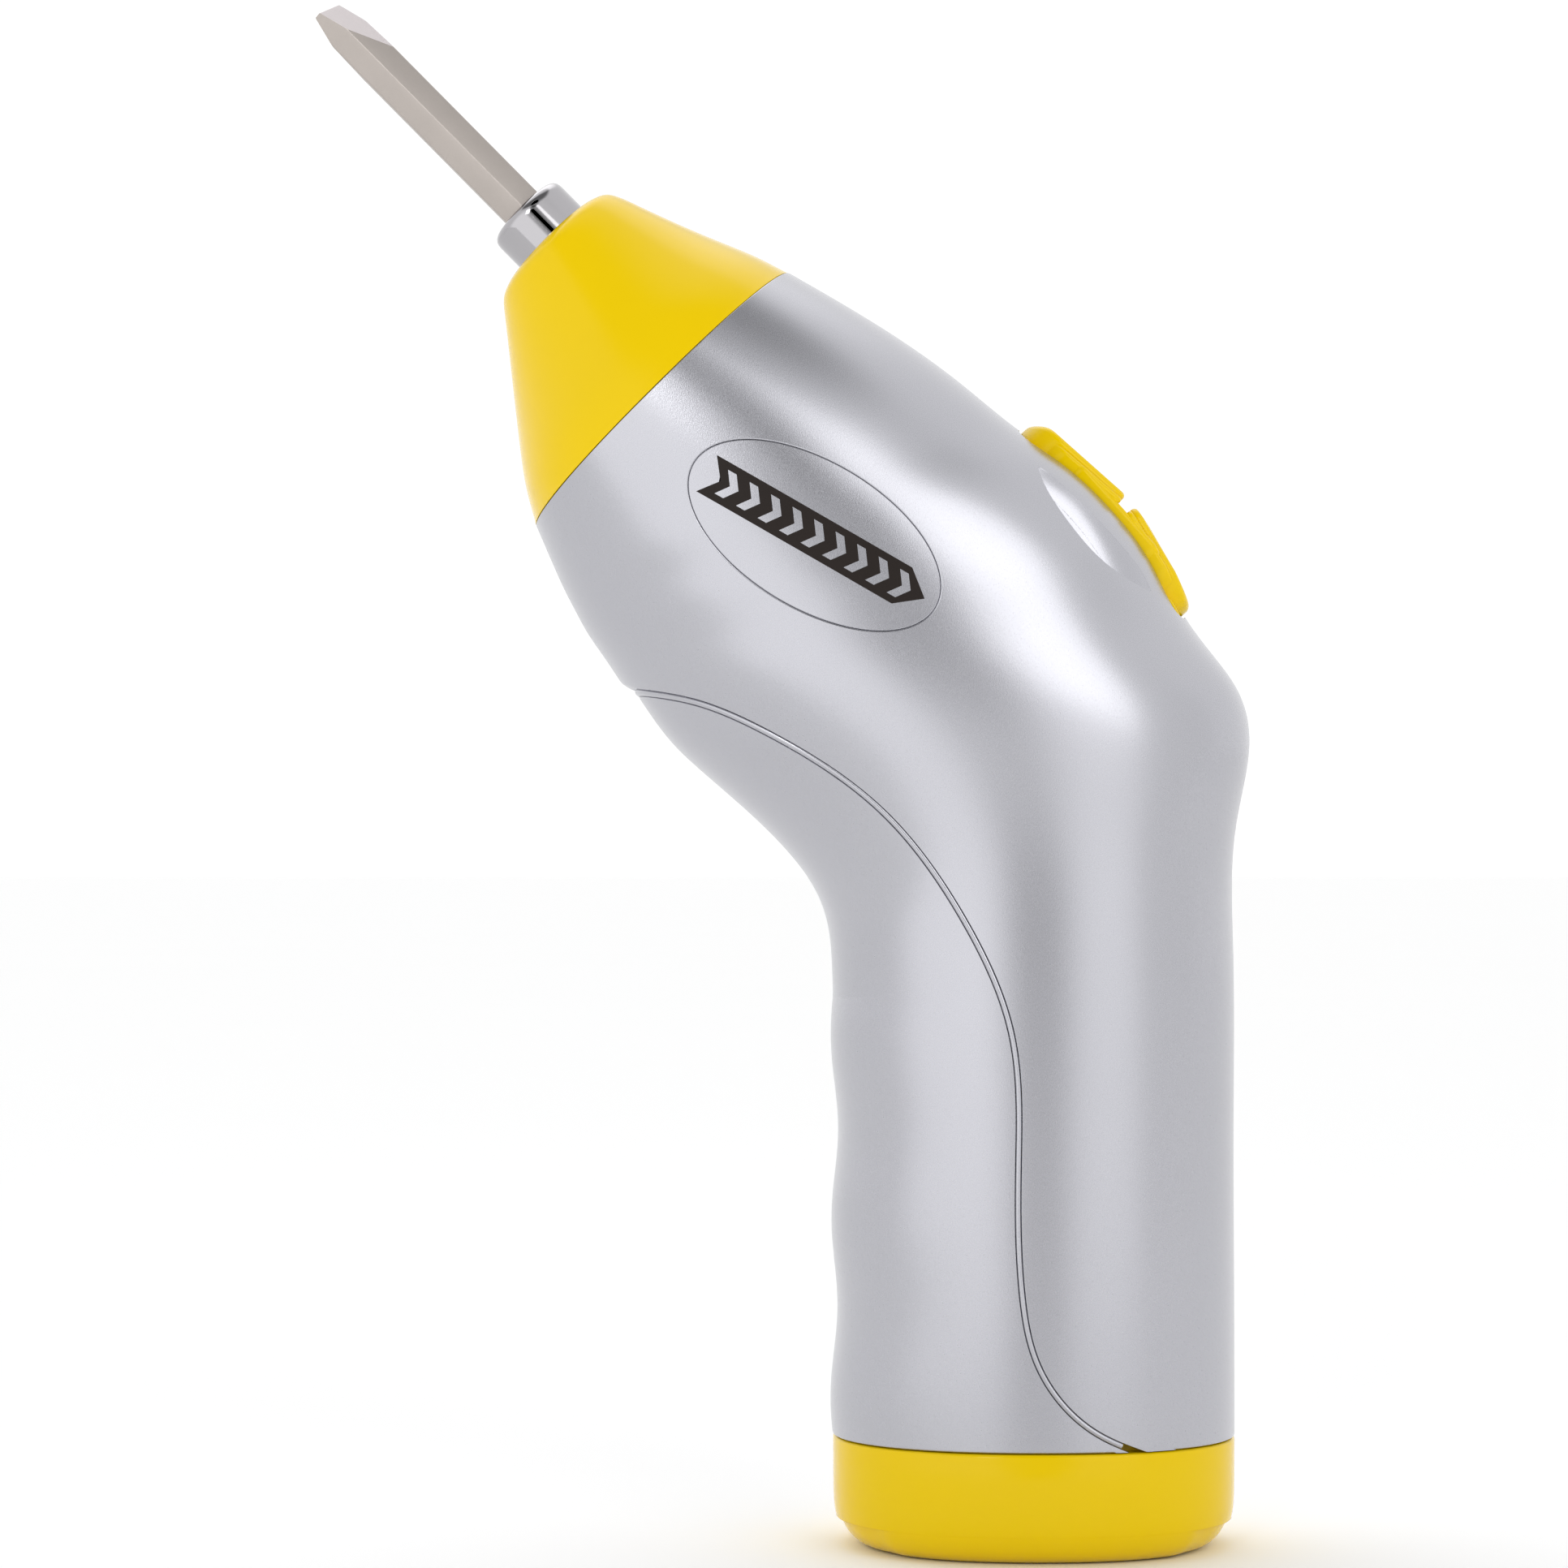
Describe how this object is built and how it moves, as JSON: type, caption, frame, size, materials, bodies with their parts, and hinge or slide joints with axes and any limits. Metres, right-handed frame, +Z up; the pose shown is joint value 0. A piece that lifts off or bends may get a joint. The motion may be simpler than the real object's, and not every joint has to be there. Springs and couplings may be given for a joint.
{
  "type": "toy power screwdriver",
  "caption": "Pistol-shaped battery power screwdriver toy with silver shells, yellow nose, rocker switch and cap, and a slotted hexagon bit in a chrome collar.",
  "frame": {"origin": "centre of the flat underside of the battery cap, where the tool stands", "axes": "+Z up the handle, -X towards the front of the handle (the nose leans to -X and +Z), +Y to the user's right side of the tool, the side with the shell screws"},
  "size_m": [0.1074, 0.0432, 0.1778],
  "materials": {
    "silver_paint": "satin",
    "yellow_plastic": "gloss",
    "chrome_steel": "polished",
    "bit_nickel": "satin",
    "steel": "satin",
    "dark_iron": "matte",
    "ferrite": "matte",
    "bronze": "satin",
    "copper": "satin",
    "white_plastic": "satin",
    "black_plastic": "matte",
    "cell_jacket": "satin",
    "red_wire": "satin",
    "black_wire": "satin"
  },
  "bodies": {
    "housing": {"body_shell_left": "silver_paint", "body_shell_right": "silver_paint", "front_grip": "silver_paint", "badge_left": "silver_paint", "badge_right": "silver_paint", "nose_cone": "yellow_plastic", "cap_nut": "steel", "rocker_pin": "steel", "gear_back_plate": "steel", "motor_can": "steel", "upper_bridge": "steel", "plus_terminal": "steel", "minus_terminal": "steel", "upper_spring_2": "steel", "upper_spring_4": "steel", "shell_screw_1": "steel", "shell_screw_2": "steel", "shell_screw_3": "steel", "shell_screw_4": "steel", "shell_screw_5": "steel", "motor_magnet_upper": "ferrite", "motor_magnet_lower": "ferrite", "front_bush": "bronze", "switch_body": "black_plastic", "gear_housing": "black_plastic", "gear_cover": "black_plastic", "motor_end_cap": "black_plastic", "cell_bulkhead": "black_plastic", "battery_wire_plus": "red_wire", "motor_wire_plus": "red_wire", "battery_wire_minus": "black_wire", "motor_wire_minus": "black_wire"},
    "spindle": {"bit_spindle": "chrome_steel", "bit_magnet": "ferrite", "output_carrier": "steel"},
    "bit": {"screwdriver_bit": "bit_nickel"},
    "middle_stage": {"middle_carrier": "steel"},
    "rotor": {"motor_core": "dark_iron", "motor_commutator": "copper", "motor_shaft": "steel", "motor_pinion": "bronze"},
    "rocker": {"rocker_button": "yellow_plastic"},
    "switch_slider": {"switch_lever": "white_plastic"},
    "cap": {"battery_cap": "yellow_plastic", "cap_screw": "steel", "cap_bridge_near": "steel", "cap_bridge_far": "steel", "cap_spring_near": "steel", "cap_spring_far": "steel"},
    "cells": {"cell_1": "cell_jacket", "cell_2": "cell_jacket", "cell_3": "cell_jacket", "cell_4": "cell_jacket"},
    "output_gear_1": {"output_planet_1": "white_plastic"},
    "middle_gear_1": {"middle_planet_1": "white_plastic"},
    "output_gear_2": {"output_planet_2": "white_plastic"},
    "middle_gear_2": {"middle_planet_2": "white_plastic"},
    "output_gear_3": {"output_planet_3": "white_plastic"},
    "middle_gear_3": {"middle_planet_3": "white_plastic"}
  },
  "joints": [
    {"name": "rotor_spin", "type": "hinge", "parent": "housing", "child": "rotor", "pos_m": [-0.0398, 0, 0.13457], "axis": [-0.7034, 0, 0.7108], "continuous": true},
    {"name": "spindle_spin", "type": "hinge", "parent": "housing", "child": "spindle", "pos_m": [-0.0398, 0, 0.13457], "axis": [-0.7034, 0, 0.7108], "continuous": true},
    {"name": "bit_pull", "type": "slide", "parent": "spindle", "child": "bit", "axis": [-0.7034, 0, 0.7108], "range_m": [0, 0.022]},
    {"name": "middle_stage_spin", "type": "hinge", "parent": "housing", "child": "middle_stage", "pos_m": [-0.0398, 0, 0.13457], "axis": [-0.7034, 0, 0.7108], "continuous": true},
    {"name": "output_planet_1_spin", "type": "hinge", "parent": "spindle", "child": "output_gear_1", "pos_m": [-0.03074, 0, 0.13608], "axis": [-0.7034, 0, 0.7108], "continuous": true},
    {"name": "middle_planet_1_spin", "type": "hinge", "parent": "middle_stage", "child": "middle_gear_1", "pos_m": [-0.02473, 0, 0.13], "axis": [-0.7034, 0, 0.7108], "continuous": true},
    {"name": "output_planet_2_spin", "type": "hinge", "parent": "spindle", "child": "output_gear_2", "pos_m": [-0.03874, 0.0065, 0.12817], "axis": [-0.7034, 0, 0.7108], "continuous": true},
    {"name": "middle_planet_2_spin", "type": "hinge", "parent": "middle_stage", "child": "middle_gear_2", "pos_m": [-0.03272, 0.0065, 0.12209], "axis": [-0.7034, 0, 0.7108], "continuous": true},
    {"name": "output_planet_3_spin", "type": "hinge", "parent": "spindle", "child": "output_gear_3", "pos_m": [-0.03874, -0.0065, 0.12817], "axis": [-0.7034, 0, 0.7108], "continuous": true},
    {"name": "middle_planet_3_spin", "type": "hinge", "parent": "middle_stage", "child": "middle_gear_3", "pos_m": [-0.03272, -0.0065, 0.12209], "axis": [-0.7034, 0, 0.7108], "continuous": true},
    {"name": "rocker_tilt", "type": "hinge", "parent": "housing", "child": "rocker", "pos_m": [0.00698, 0, 0.11658], "axis": [0, 1, 0], "range_deg": [-7, 7], "stiffness_Nm_per_rad": 0.3},
    {"name": "switch_slide", "type": "slide", "parent": "housing", "child": "switch_slider", "axis": [-0.667, 0, 0.745], "range_m": [-0.0006, 0.0006]},
    {"name": "battery_cap_off", "type": "slide", "parent": "housing", "child": "cap", "axis": [0, 0, -1], "range_m": [0, 0.062]},
    {"name": "cells_out", "type": "slide", "parent": "housing", "child": "cells", "axis": [0, 0, -1], "range_m": [0, 0.053]}
  ],
  "couplings": [
    {"joint": "spindle_spin", "follows": "rotor_spin", "ratio": 0.04},
    {"joint": "middle_stage_spin", "follows": "rotor_spin", "ratio": 0.2},
    {"joint": "output_planet_1_spin", "follows": "rotor_spin", "ratio": -0.10667},
    {"joint": "middle_planet_1_spin", "follows": "rotor_spin", "ratio": -0.53333},
    {"joint": "output_planet_2_spin", "follows": "rotor_spin", "ratio": -0.10667},
    {"joint": "middle_planet_2_spin", "follows": "rotor_spin", "ratio": -0.53333},
    {"joint": "output_planet_3_spin", "follows": "rotor_spin", "ratio": -0.10667},
    {"joint": "middle_planet_3_spin", "follows": "rotor_spin", "ratio": -0.53333},
    {"joint": "switch_slide", "follows": "rocker_tilt", "m_per_rad": 0.0039},
    {"joint": "cells_out", "follows": "battery_cap_off", "ratio": 0.85}
  ]
}
